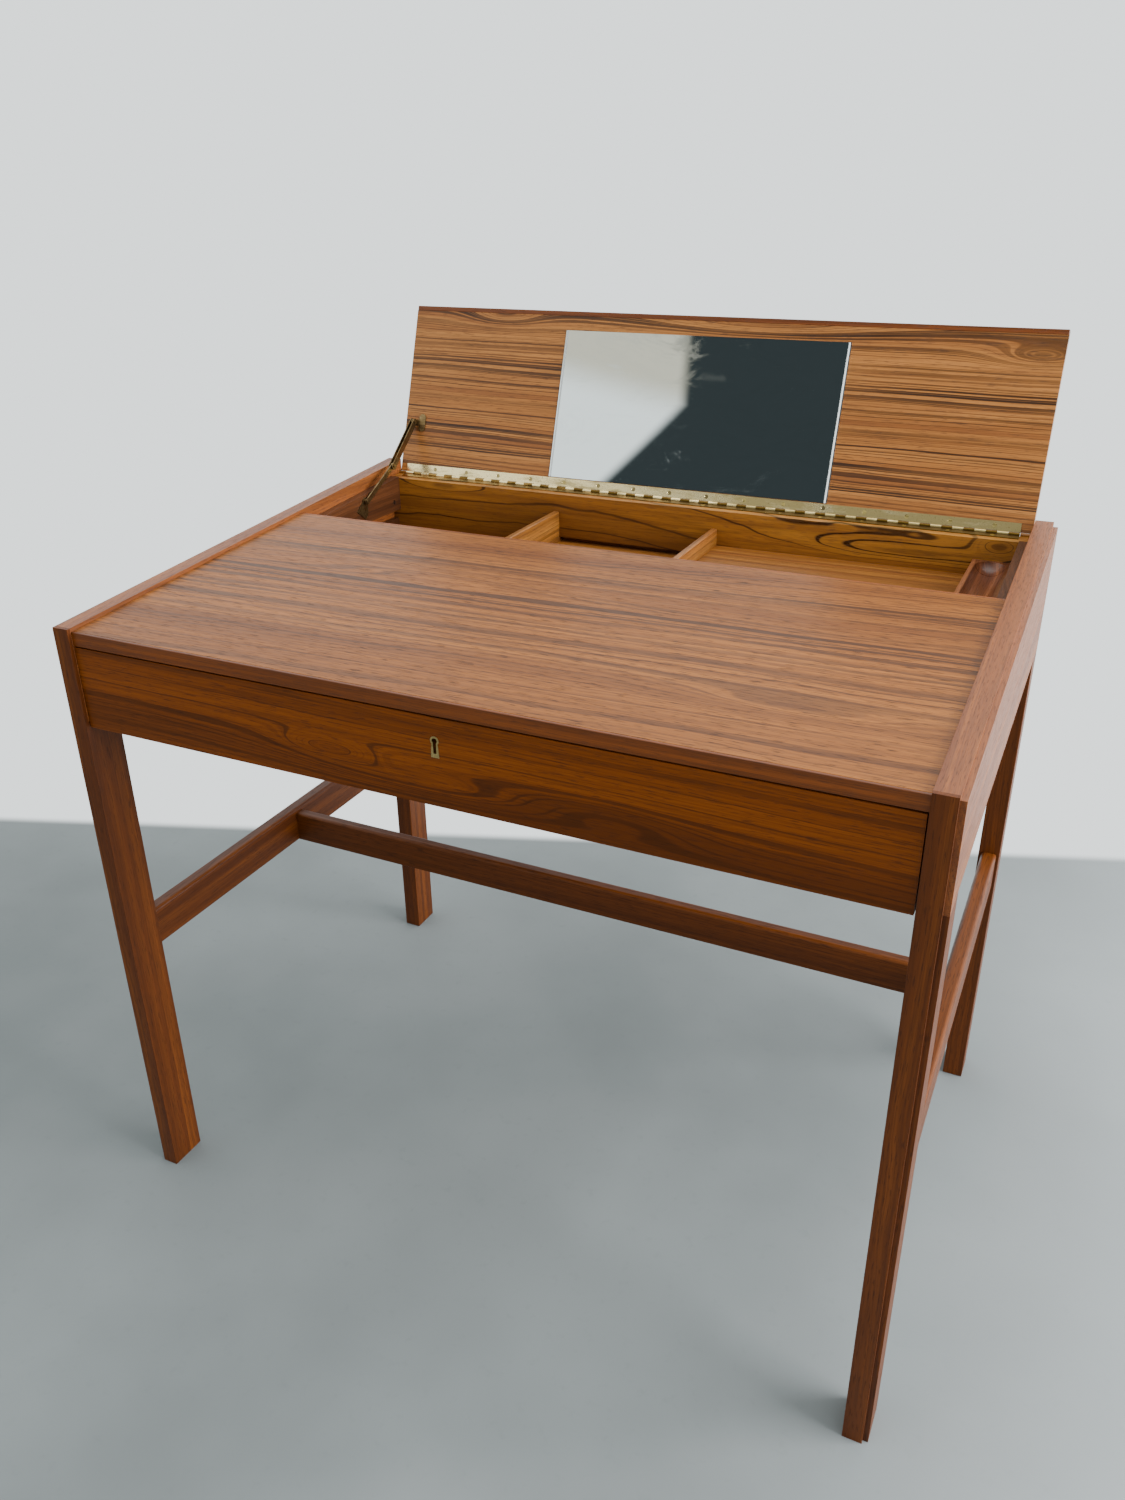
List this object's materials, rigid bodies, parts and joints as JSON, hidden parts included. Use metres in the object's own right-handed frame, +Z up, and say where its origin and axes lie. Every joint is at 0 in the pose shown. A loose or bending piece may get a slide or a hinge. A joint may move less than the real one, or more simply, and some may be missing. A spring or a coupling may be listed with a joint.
{
  "type": "vanity table",
  "caption": "Wooden vanity table with a keyed drawer and a lift-up rear lid that carries a mirror over divided compartments.",
  "frame": {"origin": "on the floor, under the middle of the whole table with its lid open, which is 0.041 m behind the middle of the four legs", "axes": "+X to the sitter's right, +Y towards the back, +Z up; the lid leans back beyond the rear legs"},
  "size_m": [0.9, 0.7084, 0.9651],
  "materials": {
    "leg_wood": "satin oiled",
    "rail_wood": "satin oiled",
    "board_veneer": "satin lacquer",
    "edge_wood": "satin",
    "back_rail_wood": "satin, bold dark figure",
    "lining_wood": "satin",
    "compartment_wood": "satin",
    "dark_screw": "dull",
    "drawer_box_wood": "raw",
    "plywood": "raw",
    "hinge_brass": "polished, slightly worn",
    "stay_brass": "dark, tarnished",
    "lid_veneer": "satin lacquer, striped",
    "mirror": "silvered, bevelled edge",
    "drawer_front_veneer": "satin lacquer, cathedral figure",
    "lock_brass": "satin"
  },
  "bodies": {
    "table": {"leg_front_left": "leg_wood", "leg_front_right": "leg_wood", "leg_rear_left": "leg_wood", "leg_rear_right": "leg_wood", "side_rail_left": "rail_wood", "side_rail_right": "rail_wood", "side_stretcher_left": "leg_wood", "side_stretcher_right": "leg_wood", "cross_stretcher": "leg_wood", "top_board": "board_veneer", "top_front_edge": "edge_wood", "top_rear_edge": "edge_wood", "back_rail": "back_rail_wood", "inner_wall": "compartment_wood", "side_lining_left": "lining_wood", "side_lining_right": "lining_wood", "lower_cleat_left": "lining_wood", "divider_left": "compartment_wood", "divider_right": "compartment_wood", "floor_left": "compartment_wood", "floor_middle": "compartment_wood", "floor_right": "compartment_wood", "pencil_tray": "lining_wood", "lining_screws": "dark_screw", "drawer_runner_left": "drawer_box_wood", "drawer_runner_right": "drawer_box_wood", "runner_screws": "dark_screw", "hinge_leaf_fixed": "hinge_brass", "hinge_pin": "hinge_brass", "hinge_screws_fixed": "hinge_brass", "stay_foot": "stay_brass", "stay_foot_screws": "stay_brass"},
    "lid": {"lid_panel": "lid_veneer", "lid_front_edge": "edge_wood", "mirror_glass": "mirror", "hinge_leaf_lid": "hinge_brass", "hinge_screws_lid": "hinge_brass", "stay_bracket": "stay_brass", "stay_bracket_screws": "stay_brass"},
    "drawer": {"drawer_front": "drawer_front_veneer", "drawer_side_left": "drawer_box_wood", "drawer_side_right": "drawer_box_wood", "drawer_back": "drawer_box_wood", "drawer_base": "plywood", "keyhole_plate": "lock_brass", "lock_case": "lock_brass", "lock_screws": "lock_brass"},
    "stay_lower_arm": {"stay_lower_arm": "stay_brass"},
    "stay_upper_arm": {"stay_upper_arm": "stay_brass"},
    "lock_bolt": {"lock_bolt": "lock_brass"}
  },
  "joints": [
    {"name": "lid_hinge", "type": "hinge", "parent": "table", "child": "lid", "pos_m": [0, 0.26874, 0.74949], "axis": [1, 0, 0], "range_deg": [0, 113]},
    {"name": "stay_lower_pivot", "type": "hinge", "parent": "table", "child": "stay_lower_arm", "pos_m": [-0.4085, 0.15934, 0.73309], "axis": [1, 0, 0], "range_deg": [-66, 0]},
    {"name": "stay_upper_pivot", "type": "hinge", "parent": "lid", "child": "stay_upper_arm", "pos_m": [-0.4085, 0.28642, 0.81741], "axis": [1, 0, 0], "range_deg": [-33, 0]},
    {"name": "drawer_slide", "type": "slide", "parent": "table", "child": "drawer", "axis": [0, -1, 0], "range_m": [0, 0.28]},
    {"name": "lock_bolt_slide", "type": "slide", "parent": "drawer", "child": "lock_bolt", "axis": [0, 0, 1], "range_m": [0, 0.007]}
  ],
  "couplings": [
    {"joint": "stay_lower_pivot", "follows": "lid_hinge", "ratio": -0.57},
    {"joint": "stay_upper_pivot", "follows": "lid_hinge", "ratio": -0.28}
  ]
}
